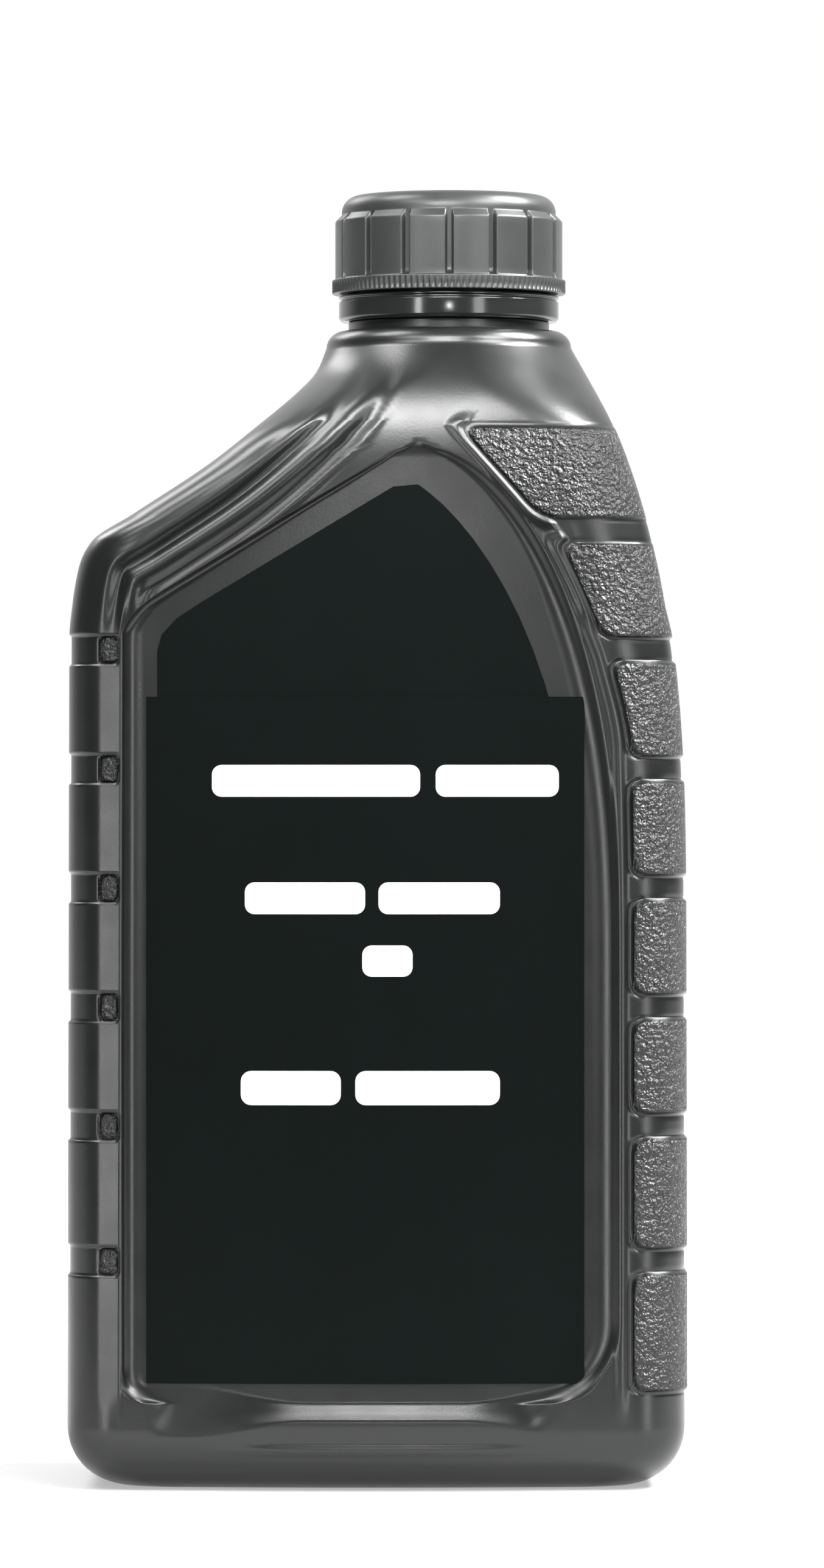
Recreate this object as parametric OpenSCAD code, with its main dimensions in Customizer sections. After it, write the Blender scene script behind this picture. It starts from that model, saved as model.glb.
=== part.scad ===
// One-litre oil bottle with an off-centre neck, a ribbed screw cap and a tamper band, in millimetres.
// It stands on z = 0 with its front towards -y, and x = 0 lies midway between its sides.

/* [Body] */
// Width of the body across both sides
body_w = 108; // [96:1:126]
// Depth of the body from front to back
body_d = 66; // [58:1:80]
// Height of the body up to the collar under the neck
shoulder_h = 202.3; // [194:0.1:226]
// Thickness of the blown wall
wall = 1.4; // [1:0.1:2]
// Radius of the four upright corners
corner_r = 9; // [7:0.5:11]
// Radius that rounds the foot of the body
base_r = 11; // [7:0.5:11]
// How much each side leans in between the base and the shoulder
side_lean = 0.5; // [0:0.1:1.5]
// Radius in plan of the crowned front and back
front_crown_r = 400; // [300:10:900]
// Width of the flat foot that the bottle stands on
foot_w = 5; // [3:0.5:7]
// Height of the hollow under the base
push_up = 2.6; // [1:0.2:4]

/* [Shoulders] */
// Height where the left side turns into its long slope
left_shoulder_h = 147.7; // [140:0.1:160]
// Height where the right side starts to lean in
right_shoulder_h = 94.6; // [80:0.1:120]
// Height where the front and back start to lean in
front_shoulder_h = 147.7; // [140:0.1:160]
// Radius of the dome under the neck
dome_r = 21.6; // [20.5:0.1:24]
// Height of the rounded edge on top of the dome
dome_edge_h = 3; // [2:0.2:4]
// Height of the raised bead along the left slope
bead_rise = 1.1; // [0.2:0.1:1.6]

/* [Label panel] */
// Distance of the panel's edge from the left side
panel_left_in = 10.2; // [9.6:0.1:13]
// Distance of the panel's edge from the right side
panel_right_in = 13.5; // [12.6:0.1:16]
// Height of the panel's foot
panel_foot_h = 15.3; // [13:0.1:17]
// Distance of the panel's peak below the shoulder's top
panel_top_drop = 21.5; // [18:0.1:30]
// Distance of the panel's peak from the middle of the body
panel_peak_x = 6.8; // [4:0.1:12]
// Angle of the panel's left roof line
panel_slope = 31; // [28:0.5:34]
// Depth of the panel below the crowned front at its middle
panel_depth = 2; // [1:0.1:2.4]
// Radius in plan of the panel's surface
panel_crown_r = 450; // [400:10:900]

/* [Grips and level marks] */
// Height of the lowest level mark
mark_low_h = 39.8; // [38:0.1:42]
// Height from the lowest mark to the next one
mark_first_step = 23.4; // [22:0.1:25]
// Height from mark to mark above those
mark_step = 20.6; // [19:0.1:21]
// Height of the smooth gap between two grip pads
gap_h = 4; // [3:0.1:6]
// How far the grip pads stand proud
pad_rise = 0.5; // [0.2:0.1:0.8]
// How deep the level marks are pressed in
mark_depth = 0.4; // [0.2:0.1:0.6]
// Height of the lowest grip pad's foot
pad_foot_h = 17.1; // [16.8:0.1:20]
// Distance of the highest grip pad's top below the shoulder's top
pad_top_drop = 17.8; // [16:0.1:21]
// Width of the frame between the panel and the grip pads
frame_w = 3.4; // [2.4:0.1:5]

/* [Neck] */
// Distance of the neck's axis from the middle of the body
neck_x = 12.5; // [6:0.5:16]
// Radius of the bore
bore_r = 14.3; // [12:0.1:14.6]
// Thickness of the neck
neck_wall = 1.9; // [1.6:0.1:2.1]
// Height of the neck above the collar
neck_h = 19.6; // [18:0.1:23]
// Radius of the collar under the tamper band
collar_r = 17.7; // [17.5:0.1:18.2]
// Height of the collar
collar_h = 1.6; // [1:0.1:2]
// How far the bead that holds the tamper band stands out
neck_bead = 1.4; // [1:0.1:1.5]
// Height of that bead
neck_bead_h = 1.4; // [1:0.1:1.8]

/* [Thread] */
// Room between the neck and the cap that their threads need
thread_rise = 1.25; // [0.8:0.05:1.3]

/* [Cap] */
// Outer radius of the cap across its ribs
cap_r = 20.05; // [19.8:0.05:21]
// Wall between the cap's thread side and the floor of its grooves
cap_wall = 0.9; // [0.7:0.1:1]
// Thickness of the cap's top
cap_top = 1.75; // [1.2:0.05:2.4]
// Radius that rounds the cap's top edge
cap_edge_r = 3; // [1:0.1:3.2]
// Number of grooves round the cap
groove_count = 16; // [8:1:24]
// Width of a groove
groove_w = 1.2; // [0.6:0.1:2]
// Height of the toothed ring at the cap's lower edge
tooth_ring_h = 2.5; // [1.5:0.1:3.5]
// How far the toothed ring stands out past the ribs
tooth_ring_out = 0.55; // [0.3:0.05:1]
// Number of teeth
tooth_count = 120; // [60:2:140]
// Depth of a tooth
tooth_depth = 0.35; // [0.2:0.05:0.5]
// Thickness of the sealing liner
liner_t = 0.8; // [0.5:0.1:1.5]

/* [Tamper band] */
// Outer radius of the tamper band
band_r = 19.4; // [19.2:0.05:19.8]
// Height of the tamper band
band_h = 4.55; // [4:0.05:5]
// Height of the catch inside the band
catch_h = 1.8; // [1.2:0.1:2]
// Height of the slope on top of the catch
catch_slope_h = 0.6; // [0.2:0.1:1]

/* [Labels] */
// Thickness of the label
label_t = 0.15; // [0.1:0.05:0.3]
// Distance from the panel's edge to the label's
label_margin = 5.7; // [4:0.1:8]
// Distance of the label's top below the panel's peak
label_top_drop = 6.6; // [6:0.1:10]
// Height of the label's foot above the sticker's lower edge
label_foot_in = 2; // [1:0.5:6]
// Thickness of the sticker over the label
sticker_t = 0.15; // [0.1:0.05:0.3]
// Height of the sticker
sticker_h = 118.8; // [90:0.1:120]
// Distance of the sticker from the panel's left edge
sticker_left_in = 3.8; // [3:0.1:10]
// Distance of the sticker from the panel's right edge
sticker_right_in = 4.7; // [3:0.1:12]
// Height of the sticker's lower edge above the panel's foot
sticker_foot_in = 3.4; // [3:0.1:8]

/* [Clearances] */
// Gap between parts that turn past each other
turn_gap = 0.35; // [0.2:0.05:0.5]
// Gap between flat faces that press together when the cap is closed
seat_gap = 0.05; // [0.02:0.01:0.1]
// Thickness of the glue between the label and the sticker
glue_t = 0.03; // [0.02:0.01:0.05]

/* [Hidden] */

half_w = body_w / 2;
half_d = body_d / 2;
dome_h = shoulder_h - dome_edge_h;
panel_left_x = -half_w + panel_left_in;
panel_right_x = half_w - panel_right_in;
panel_top_h = shoulder_h - panel_top_drop;
pad_top_h = shoulder_h - pad_top_drop;
label_top_h = panel_top_h - label_top_drop;
sticker_foot_h = panel_foot_h + sticker_foot_in;
sticker_left_x = panel_left_x + sticker_left_in;
sticker_right_x = panel_right_x - sticker_right_in;
// Least room between the panel and a grip pad, and between a grip pad and the right outline
least_frame_w = 2.4;
least_pad_w = 4;
// Radius of the round peak of the label panel
peak_r = 8;
// Height over which the panel's right edge curves from its peak to its upright part
panel_right_drop = panel_top_h - right_shoulder_h + 4;
// Radii of the panel's lower corners
foot_left_r = 6;
foot_right_r = 14;
// Height of the rounded step under the panel
step_drop = panel_foot_h - base_r;
// Width of the flat ledge round the collar's foot
collar_ledge = 0.6;
// Length over which an edge of a pad, mark or panel ramps
ramp = 0.6;
// Height from the body's shoulder to where its plan turns into the dome's circle
morph_drop = 18;

neck_r = bore_r + neck_wall;
lip_h = shoulder_h + collar_h + neck_h;
collar_top_h = shoulder_h + collar_h;
bead_r = neck_r + neck_bead;
band_in_r = bead_r + turn_gap;
bead_foot_h = collar_top_h + catch_h + turn_gap;
cap_foot_h = collar_top_h + band_h + turn_gap;
cap_in_r = neck_r + thread_rise + turn_gap + 0.2;
groove_r = cap_in_r + cap_wall;
cap_ceiling_h = lip_h + liner_t + 2 * seat_gap;
cap_top_h = cap_ceiling_h + cap_top;
liner_r = cap_in_r - turn_gap;
rib_slope_h = cap_top_h - cap_edge_r - 0.4;

// Stations up the left shoulder: share of its height, then share of its way in to the dome
left_stations = [
    [0, 0], [0.11, 0.011], [0.25, 0.04], [0.33, 0.09], [0.42, 0.25],
    [0.6, 0.565], [0.72, 0.735], [0.85, 0.896], [0.92, 0.963], [1, 1]
];
right_power = 3.1;
front_power = 4.5;

function mix(a, b, t) = a + (b - a) * t;
function share(t) = max(0, min(1, t));
function ease(t) = let (s = share(t)) s * s * (3 - 2 * s);
// The larger of two values, with a round change from one to the other
function round_max(a, b, k) = let (h = max(k - abs(a - b), 0) / k) max(a, b) + h * h * k / 4;

// Smooth curve through stations that never turns back between them
function secant(s, i) = (s[i + 1][1] - s[i][1]) / (s[i + 1][0] - s[i][0]);
function tangent(s, i) =
    i == 0 ? 0
    : i == len(s) - 1 ? secant(s, i - 1)
    : let (a = secant(s, i - 1), b = secant(s, i)) a * b <= 0 ? 0 : 2 * a * b / (a + b);
function span_of(s, t, i = 0) = i >= len(s) - 2 || t < s[i + 1][0] ? i : span_of(s, t, i + 1);
function curve(s, t) =
    let (
        i = span_of(s, t), w = s[i + 1][0] - s[i][0], u = (t - s[i][0]) / w,
        a = tangent(s, i) * w, b = tangent(s, i + 1) * w
    )
    s[i][1] * (1 + 2 * u) * (1 - u) * (1 - u) + a * u * (1 - u) * (1 - u)
    + s[i + 1][1] * u * u * (3 - 2 * u) + b * u * u * (u - 1);

// Outline of the body seen from the front and from the side
function lean(z) = side_lean * z / shoulder_h;
function left_x(z) =
    let (t = share((z - left_shoulder_h) / (dome_h - left_shoulder_h)))
    mix(-half_w + lean(z), neck_x - dome_r, curve(left_stations, t));
function right_x(z) =
    let (t = share((z - right_shoulder_h) / (dome_h - right_shoulder_h)))
    mix(half_w - pad_rise - lean(z), neck_x + dome_r, pow(t, right_power));
function depth_at(z) =
    let (t = share((z - front_shoulder_h) / (dome_h - front_shoulder_h)))
    mix(half_d, dome_r, pow(t, front_power));
function foot_inset(z, r) = z < r ? r - sqrt(r * r - (r - z) * (r - z)) : 0;
function edge_inset(z) =
    z <= dome_h ? 0
    : let (u = (z - dome_h) / dome_edge_h) (dome_r - collar_r - collar_ledge) * (1 - sqrt(max(0, 1 - u * u)));

// Outline of the label panel seen from the front
function roof_x(z) =
    panel_peak_x - peak_r * tan(panel_slope / 2) + 0.3 - (panel_top_h - z) / tan(panel_slope);
function panel_left(z) =
    let (
        drop = panel_top_h - z,
        line = round_max(panel_left_x, roof_x(z), 7),
        cap = panel_peak_x - sqrt(max(0, peak_r * peak_r - pow(peak_r - drop, 2))),
        foot = z < panel_foot_h + foot_left_r
            ? foot_inset(max(z, panel_foot_h) - panel_foot_h, foot_left_r) : 0
    )
    (drop < peak_r * (1 - cos(panel_slope)) ? cap : line) + foot;
function panel_right(z) =
    let (
        t = share((panel_top_h - z) / panel_right_drop),
        foot = z < panel_foot_h + foot_right_r
            ? foot_inset(max(z, panel_foot_h) - panel_foot_h, foot_right_r) : 0
    )
    mix(panel_peak_x, panel_right_x, pow(1 - pow(1 - t, 2.5), 1 / 1.5)) - foot;

// Left edge of the grip pads seen from the front
pad_stations = [[0, 0], [0.28, 0.025], [0.45, 0.115], [0.6, 0.2], [0.72, 0.42], [0.8, 0.57], [1, 1]];
function pad_left(z) =
    let (low = panel_right_x + frame_w, high = panel_peak_x + 6,
         t = share((z - right_shoulder_h) / (pad_top_h - right_shoulder_h)))
    mix(low, high, curve(pad_stations, t));

// How far a horizontal distance stretches where the left shoulder slopes
function on_slope(z) = ease((z - left_shoulder_h - 4) / 12);

// Height of each gap between grip pads; the marks lie at the heights of the lowest gaps
gap_count = 7;
mark_count = 6;
function gap_z(i) = mark_low_h + (i == 0 ? 0 : mark_first_step + (i - 1) * mark_step);
// How far the pads have risen and the marks have sunk at a height, from none to all of it
function off_gap(i, z) = abs(z - gap_z(i)) - gap_h / 2;
function pad_share(z) =
    min(share((z - pad_foot_h) / ramp + 1), share((pad_top_h - z) / ramp + 1),
        min([for (i = [0 : gap_count - 1]) share(off_gap(i, z) / ramp)]));
function mark_share(z) = max([for (i = [0 : mark_count - 1]) share(1 - off_gap(i, z) / ramp)]);

// Heights of the body's loft, from the lowest to the highest, with none closer than a least step
function sorted(v) =
    len(v) < 2 ? v
    : let (pivot = v[floor(len(v) / 2)])
    concat(sorted([for (q = v) if (q < pivot) q]), [pivot], sorted([for (q = v) if (q > pivot) q]));
function spaced(v, least) =
    [for (i = [0 : len(v) - 1]) if (i == len(v) - 1 || v[i + 1] - v[i] > least) v[i]];
levels = spaced(sorted(concat(
    [for (a = [15 : 15 : 90]) base_r * (1 - cos(a))],
    [for (s = [0.3, 0.6, 0.85]) base_r + s * step_drop],
    [for (s = [0.02, 0.3, 0.75]) panel_foot_h + s * foot_right_r],
    [pad_foot_h - ramp, pad_foot_h, panel_top_h, pad_top_h, pad_top_h + ramp],
    [for (i = [0 : gap_count - 1], a = [-gap_h / 2 - ramp, -gap_h / 2, gap_h / 2, gap_h / 2 + ramp])
        gap_z(i) + a],
    [for (i = [0 : gap_count - 3]) gap_z(i) + mark_step / 2],
    [for (s = [0.14, 0.2, 0.26, 0.31, 0.47, 0.53, 0.6, 0.645]) mix(left_shoulder_h, dome_h, s)],
    [for (s = [0.2, 0.45, 0.7, 0.88, 1]) mix(pad_top_h + ramp, dome_h, s)],
    [for (a = [30, 60, 90]) dome_h + dome_edge_h * sin(a)]
)), ramp / 2);

// Plan of one level: left and right ends, half depth, corner widths and depth, crown radius, roundness.
// The rounded rectangle turns into the dome's circle towards the neck.
function crown(x, r) = x * x / (2 * r);
function roundness(z) = ease((z - dome_h + morph_drop) / morph_drop);
function plan(xl, xr, d, r, left_c, right_c, round) =
    let (w = (xr - xl) / 2, k = 1 - round)
    [xl, xr, d, mix(left_c, w, round), mix(right_c, w, round), mix(left_c, d, round), r, k];
function front_y(p, x) = -(p[2] - p[7] * crown(x, p[6]));
function left_corner(p, a, out = 0) =
    let (y = front_y(p, p[0] + p[3]) + p[5])
    [p[0] + p[3] - (p[3] + out) * cos(a), y - (p[5] + out) * sin(a)];
function right_corner(p, a, out = 0) =
    let (y = front_y(p, p[1] - p[4]) + p[5])
    [p[1] - p[4] + (p[4] + out) * cos(a), y - (p[5] + out) * sin(a)];
function plan_y(p, x) =
    let (l = (p[0] + p[3] - x) / p[3], r = (x - p[1] + p[4]) / p[4])
    l > 0 ? left_corner(p, acos(min(l, 1)))[1] : r > 0 ? right_corner(p, acos(min(r, 1)))[1] : front_y(p, x);
// Angle and place that column j of n takes on the dome's circle
function dome_a(j, n) = 180 * j / (n - 1);
function dome_x(p, j, n) = (p[0] + p[1]) / 2 - (p[1] - p[0]) / 2 * cos(dome_a(j, n));

// Points of the front half of one level, from the left side round the front to the right side
arc_steps = 4;
panel_steps = 6;
half_count = 2 * arc_steps + panel_steps + 15;
function half_ring(z) =
    let (
        up = pad_share(z), rise = pad_rise * up, dip = mark_depth * mark_share(z),
        slope = on_slope(z), round = roundness(z), flat = 1 - round,
        in = foot_inset(z, base_r) + edge_inset(z),
        wide_c = corner_r + 5 * ease((z - right_shoulder_h) / 90),
        p = plan(left_x(z) + in, right_x(z) - in, depth_at(z) - in, front_crown_r, corner_r, wide_c, round),
        low_z = min(z, panel_top_h), wall_x = mix(0.5, 1.2, slope),
        pl = max(panel_left(low_z), p[0] + corner_r + mix(1, 11, slope)),
        pr = max(panel_right(low_z), pl + 1),
        pad = min(max(pad_left(z), pr + least_frame_w), p[1] - least_pad_w),
        inside = ease((z - base_r) / step_drop) * ease((panel_top_h - z) / 6 + 0.35) * flat,
        floor_y = half_d - panel_depth, band_x = p[0] + corner_r,
        start = max(p[1] - wide_c, pad + 1),
        // Columns across the front: place, height over the crowned front, share of the sunk panel
        front = concat(
            [for (b = [[0.12, -0.3], [0.4, 1], [0.62, 0.9], [0.85, -0.3]])
                [mix(band_x, pl - wall_x, b[0]), bead_rise * b[1] * slope * flat, 0]],
            [[pl - wall_x, 0, 0]],
            [for (i = [0 : panel_steps]) [mix(pl, pr, i / panel_steps), 0, inside]],
            [for (b = [[0.25, 0], [0.5, 0.3], [0.8, 0.3]]) [mix(pr, pad, b[0]), b[1] * flat, 0]],
            [[pad, -0.3 * up, 0], [pad + 0.7, rise, 0]]
        ),
        n = half_count,
        left = [for (i = [0 : arc_steps]) let (a = mix(90 * i / arc_steps, dome_a(i + 1, n), round))
            left_corner(p, a, i < arc_steps ? -dip : 0)],
        middle = [for (i = [0 : len(front) - 1])
            let (
                c = front[i], x = mix(c[0], dome_x(p, i + arc_steps + 2, n), round), y = plan_y(p, x),
                sunk = max(y, -(floor_y - crown(x, panel_crown_r)))
            ) [x, mix(y, sunk, c[2]) - c[1]]],
        start_a = acos(share((start - p[1] + wide_c) / wide_c)),
        right = [for (i = [arc_steps : -1 : 0])
            let (a = mix(start_a * i / arc_steps, 180 - dome_a(n - 2 - i, n), round)) right_corner(p, a, rise)]
    )
    [for (q = concat([[p[0] + dip, 0]], left, middle, right, [[p[1] + rise, 0]])) [q[0], q[1], z]];

// A full ring: the front half, then the same points mirrored to the back
function ring(half) = concat(half, [for (i = [len(half) - 2 : -1 : 1]) [half[i][0], -half[i][1], half[i][2]]]);
// A copy of a half ring, shrunk to a distance inside the edge of the flat foot
function inside_foot(half, by, z) =
    let (last = len(half) - 1, w = (half[last][0] - half[0][0]) / 2, d = max([for (q = half) -q[1]]),
         mid = (half[0][0] + half[last][0]) / 2)
    [for (q = half) [mid + (q[0] - mid) * (half_w - base_r - by) / w, q[1] * (half_d - base_r - by) / d, z]];

// A closed skin over rings that all have the same number of points, from the lowest to the highest
module loft(rings) {
    n = len(rings[0]);
    polyhedron(
        points = [for (r = rings) each r],
        faces = concat(
            [[for (i = [0 : n - 1]) i]],
            [for (k = [0 : len(rings) - 2], i = [0 : n - 1]) let (j = (i + 1) % n)
                each [[k * n + i, (k + 1) * n + i, (k + 1) * n + j],
                      [k * n + i, (k + 1) * n + j, k * n + j]]],
            [[for (i = [n - 1 : -1 : 0]) (len(rings) - 1) * n + i]]
        )
    );
}

module body_outside() {
    foot_half = half_ring(0);
    loft(concat(
        [ring(inside_foot(foot_half, foot_w + push_up, push_up)), ring(inside_foot(foot_half, foot_w, 0)),
            ring(foot_half)],
        [for (z = levels) ring(half_ring(z))]
    ));
}

// The hollow keeps one wall inside the outline and inside the sunk panel
hollow_arc_steps = 3;
hollow_front_steps = 4;
function hollow_half(z) =
    let (
        up = z + wall, in = wall + foot_inset(z - wall, base_r - wall), round = roundness(up),
        p = plan(left_x(up) + in + mark_depth, right_x(up) - in, min(depth_at(up), half_d - panel_depth) - in,
            panel_crown_r, corner_r, corner_r, round),
        n = 2 * hollow_arc_steps + hollow_front_steps + 3,
        left = [for (i = [0 : hollow_arc_steps])
            left_corner(p, mix(90 * i / hollow_arc_steps, dome_a(i + 1, n), round))],
        middle = [for (i = [1 : hollow_front_steps - 1])
            let (x = mix(mix(p[0] + corner_r, p[1] - corner_r, i / hollow_front_steps),
                dome_x(p, i + hollow_arc_steps + 1, n), round)) [x, plan_y(p, x)]],
        right = [for (i = [hollow_arc_steps : -1 : 0])
            right_corner(p, mix(90 * i / hollow_arc_steps, 180 - dome_a(n - 2 - i, n), round))]
    )
    [for (q = concat([[p[0], 0]], left, middle, right, [[p[1], 0]])) [q[0], q[1], z]];

module body_hollow() {
    foot_half = hollow_half(wall);
    high = dome_h - wall;
    under_foot = foot_w - 0.4 * wall;
    mouth = (bore_r + 1) / (dome_r - wall);
    loft(concat(
        [ring(inside_foot(foot_half, under_foot + push_up, push_up + wall)),
            ring(inside_foot(foot_half, under_foot, wall)), ring(foot_half)],
        [for (a = [30, 60, 90]) ring(hollow_half(wall + (base_r - wall) * (1 - cos(a))))],
        [for (s = [0.4, 1]) ring(hollow_half(mix(base_r, right_shoulder_h, s)))],
        [ring(hollow_half(mix(right_shoulder_h, left_shoulder_h, 0.6)))],
        [for (s = [0, 0.15, 0.27, 0.38, 0.5, 0.62, 0.75, 0.88, 1])
            ring(hollow_half(mix(left_shoulder_h, high, s)))],
        [ring([for (q = hollow_half(high)) [neck_x + (q[0] - neck_x) * mouth, q[1] * mouth, shoulder_h - wall]])]
    ));
}

module neck() {
    translate([neck_x, 0, 0])
        rotate_extrude($fn = 96)
            polygon([
                [bore_r, shoulder_h - wall / 2], [collar_r, shoulder_h - wall / 2], [collar_r, collar_top_h],
                [neck_r, collar_top_h], [neck_r, bead_foot_h],
                [bead_r, bead_foot_h], [bead_r, bead_foot_h + 0.4 * neck_bead_h],
                [neck_r, bead_foot_h + neck_bead_h], [neck_r, lip_h - 0.4],
                [neck_r - 0.4, lip_h], [bore_r, lip_h]
            ]);
}

module bottle_body() {
    color([0.2, 0.21, 0.22])
        difference() {
            union() {
                body_outside();
                neck();
            }
            body_hollow();
            translate([neck_x, 0, shoulder_h - 2 * wall])
                cylinder(r = bore_r, h = lip_h, $fn = 96);
        }
}

module tamper_band() {
    bead = 0.5;
    color([0.12, 0.13, 0.13])
        translate([neck_x, 0, collar_top_h])
            rotate_extrude($fn = 96)
                polygon([
                    [neck_r + turn_gap, 0], [band_r - 0.5, 0], [band_r, 0.6], [band_r, band_h - 2.2 * bead],
                    [band_r - 0.3, band_h - 1.7 * bead], [band_r - 0.3, band_h - 1.2 * bead],
                    [band_r, band_h - bead], [band_r, band_h - 0.2], [band_r - 0.2, band_h],
                    [band_in_r, band_h], [band_in_r, catch_h], [neck_r + turn_gap, catch_h - catch_slope_h]
                ]);
}

module cap_liner() {
    color([0.85, 0.85, 0.83])
        translate([neck_x, 0, lip_h + seat_gap])
            cylinder(r = liner_r, h = liner_t, $fn = 96);
}

// A ring with sharp teeth round its outside
module toothed_ring(r, depth, count, h) {
    linear_extrude(h)
        polygon([for (i = [0 : 2 * count - 1])
            let (a = 180 * i / count, q = i % 2 == 0 ? r : r - depth) [q * cos(a), q * sin(a)]]);
}

module cap_shell() {
    edge_steps = 6;
    rotate_extrude($fn = 96)
        polygon(concat(
            [[0, cap_foot_h], [cap_r, cap_foot_h], [cap_r, rib_slope_h - (cap_r - groove_r)],
                [groove_r, rib_slope_h]],
            [for (i = [0 : edge_steps]) let (a = 90 * i / edge_steps)
                [groove_r - cap_edge_r * (1 - cos(a)), cap_top_h - cap_edge_r * (1 - sin(a))]],
            [[0, cap_top_h]]
        ));
    translate([0, 0, cap_foot_h])
        toothed_ring(cap_r + tooth_ring_out, tooth_depth, tooth_count, tooth_ring_h);
}

module screw_cap() {
    ring_top_h = cap_foot_h + tooth_ring_h;
    color([0.16, 0.165, 0.17])
        translate([neck_x, 0, 0])
            difference() {
                cap_shell();
                translate([0, 0, cap_foot_h - 1])
                    cylinder(r = cap_in_r, h = cap_ceiling_h - cap_foot_h + 1, $fn = 96);
                for (i = [0 : groove_count - 1])
                    rotate([0, 0, 360 * i / groove_count - 90])
                        translate([groove_r, -groove_w / 2, ring_top_h])
                            cube([cap_r, groove_w, cap_top_h - ring_top_h]);
            }
}

// A sheet that lies on the panel's crowned surface, cut to the outline that is given
module on_panel(lift, t) {
    r = panel_crown_r + lift;
    intersection() {
        translate([0, panel_crown_r - half_d + panel_depth, panel_foot_h])
            difference() {
                cylinder(r = r + t, h = panel_top_h, $fn = 720);
                translate([0, 0, -1])
                    cylinder(r = r, h = panel_top_h + 2, $fn = 720);
            }
        rotate([90, 0, 0])
            linear_extrude(half_d + 5)
                children();
    }
}

function label_left(z) =
    round_max(panel_left_x + label_margin, roof_x(z + label_margin), 6);
function label_right(z) = panel_right(z + 0.75 * label_margin) - 0.9 * label_margin;

module front_label() {
    foot = sticker_foot_h + label_foot_in;
    roof_steps = 12;
    low = left_shoulder_h - 20;
    color([0.12, 0.14, 0.14])
        on_panel(0, label_t)
            polygon(concat(
                [[label_left(foot), foot], [label_right(low), foot]],
                [for (i = [0 : roof_steps]) let (z = mix(low, label_top_h, sin(90 * i / roof_steps)))
                    [label_right(z), z]],
                [for (i = [roof_steps : -1 : 0])
                    let (z = mix(left_shoulder_h - 8, label_top_h - 0.4, i / roof_steps)) [label_left(z), z]]
            ));
}

module front_sticker() {
    color([0.11, 0.13, 0.13])
        on_panel(label_t + glue_t, sticker_t)
            translate([sticker_left_x, sticker_foot_h])
                square([sticker_right_x - sticker_left_x, sticker_h]);
}

bottle_body();
tamper_band();
cap_liner();
screw_cap();
front_label();
front_sticker();
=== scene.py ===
import math

import bpy
import numpy as np
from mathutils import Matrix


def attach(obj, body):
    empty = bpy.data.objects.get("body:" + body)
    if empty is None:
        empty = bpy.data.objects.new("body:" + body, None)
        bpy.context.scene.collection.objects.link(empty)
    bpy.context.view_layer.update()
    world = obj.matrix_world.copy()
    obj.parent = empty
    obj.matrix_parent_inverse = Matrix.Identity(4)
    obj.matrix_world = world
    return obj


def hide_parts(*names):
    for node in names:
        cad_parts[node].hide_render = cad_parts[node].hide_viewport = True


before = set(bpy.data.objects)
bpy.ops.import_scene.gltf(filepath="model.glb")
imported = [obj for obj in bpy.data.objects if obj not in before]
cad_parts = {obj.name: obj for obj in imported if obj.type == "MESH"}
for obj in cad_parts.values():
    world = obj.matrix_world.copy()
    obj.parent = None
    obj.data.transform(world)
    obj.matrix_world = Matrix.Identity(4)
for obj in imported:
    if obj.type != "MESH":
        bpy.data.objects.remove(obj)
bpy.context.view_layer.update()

# One-litre oil bottle. Shapes are worked out in millimetres and become metres when a mesh is made.
MM = 0.001

# Body, as in the part's source
BODY_W = 108
BODY_D = 66
SHOULDER_H = 202.3
WALL = 1.4
CORNER_R = 9
RIGHT_CORNER_GAIN = 5
RIGHT_CORNER_SPAN = 90
BASE_R = 11
SIDE_LEAN = 0.5
FRONT_CROWN_R = 400
FOOT_W = 5
PUSH_UP = 2.6
LEFT_SHOULDER_H = 147.7
RIGHT_SHOULDER_H = 94.6
FRONT_SHOULDER_H = 147.7
DOME_R = 21.6
DOME_EDGE_H = 3
DOME_H = SHOULDER_H - DOME_EDGE_H
MORPH_DROP = 18
HALF_W = BODY_W / 2
HALF_D = BODY_D / 2
LEFT_STATIONS = [
    (0, 0), (0.11, 0.011), (0.25, 0.04), (0.33, 0.09), (0.42, 0.25),
    (0.6, 0.565), (0.72, 0.735), (0.85, 0.896), (0.92, 0.963), (1, 1),
]

# Label panel
PANEL_LEFT_X = -HALF_W + 10.2
PANEL_RIGHT_X = HALF_W - 13.5
PANEL_FOOT_H = 15.3
PANEL_TOP_H = SHOULDER_H - 21.5
PANEL_PEAK_X = 6.8
PANEL_SLOPE = math.radians(31)
PANEL_DEPTH = 2
PANEL_CROWN_R = 450
PANEL_PEAK_R = 8
FOOT_LEFT_R = 6
FOOT_RIGHT_R = 14
PANEL_LEFT_BEND = 7
PANEL_WALL_W = 0.9
PANEL_SLOPE_WALL_W = 1.6
PANEL_RIGHT_WALL_W = 3.4

# Relief beside and below the panel: the facet down the left corner, the ridges of the left slope as
# rise, distance from the outline and half width, and the step and bead above the base
STRIP_IN = 5.6
STRIP_OUT = 9.4
STRIP_TILT = math.radians(15)
BEAD_RISE = 1.1
BEAD_IN = 10.4
BEAD_HALF_W = 2.7
SLOPE_RIDGES = [(0.35, 5.6, 1.6), (-0.7, 7.7, 1.8), (-0.5, 13, 1.6), (0.3, 14.9, 0.9)]
STEP_MID_X = 1
STEP_HALF_W = 14
STEP_END_W = 20
STEP_H = 2.8
STEP_END_FOOT_H = 9.5
STEP_END_RISE = 3.2
STEP_LIP = 0.2
FOOT_BEAD_H = 7.2
FOOT_BEAD_RISE = 0.5
FOOT_SOFT_H = 21

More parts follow.
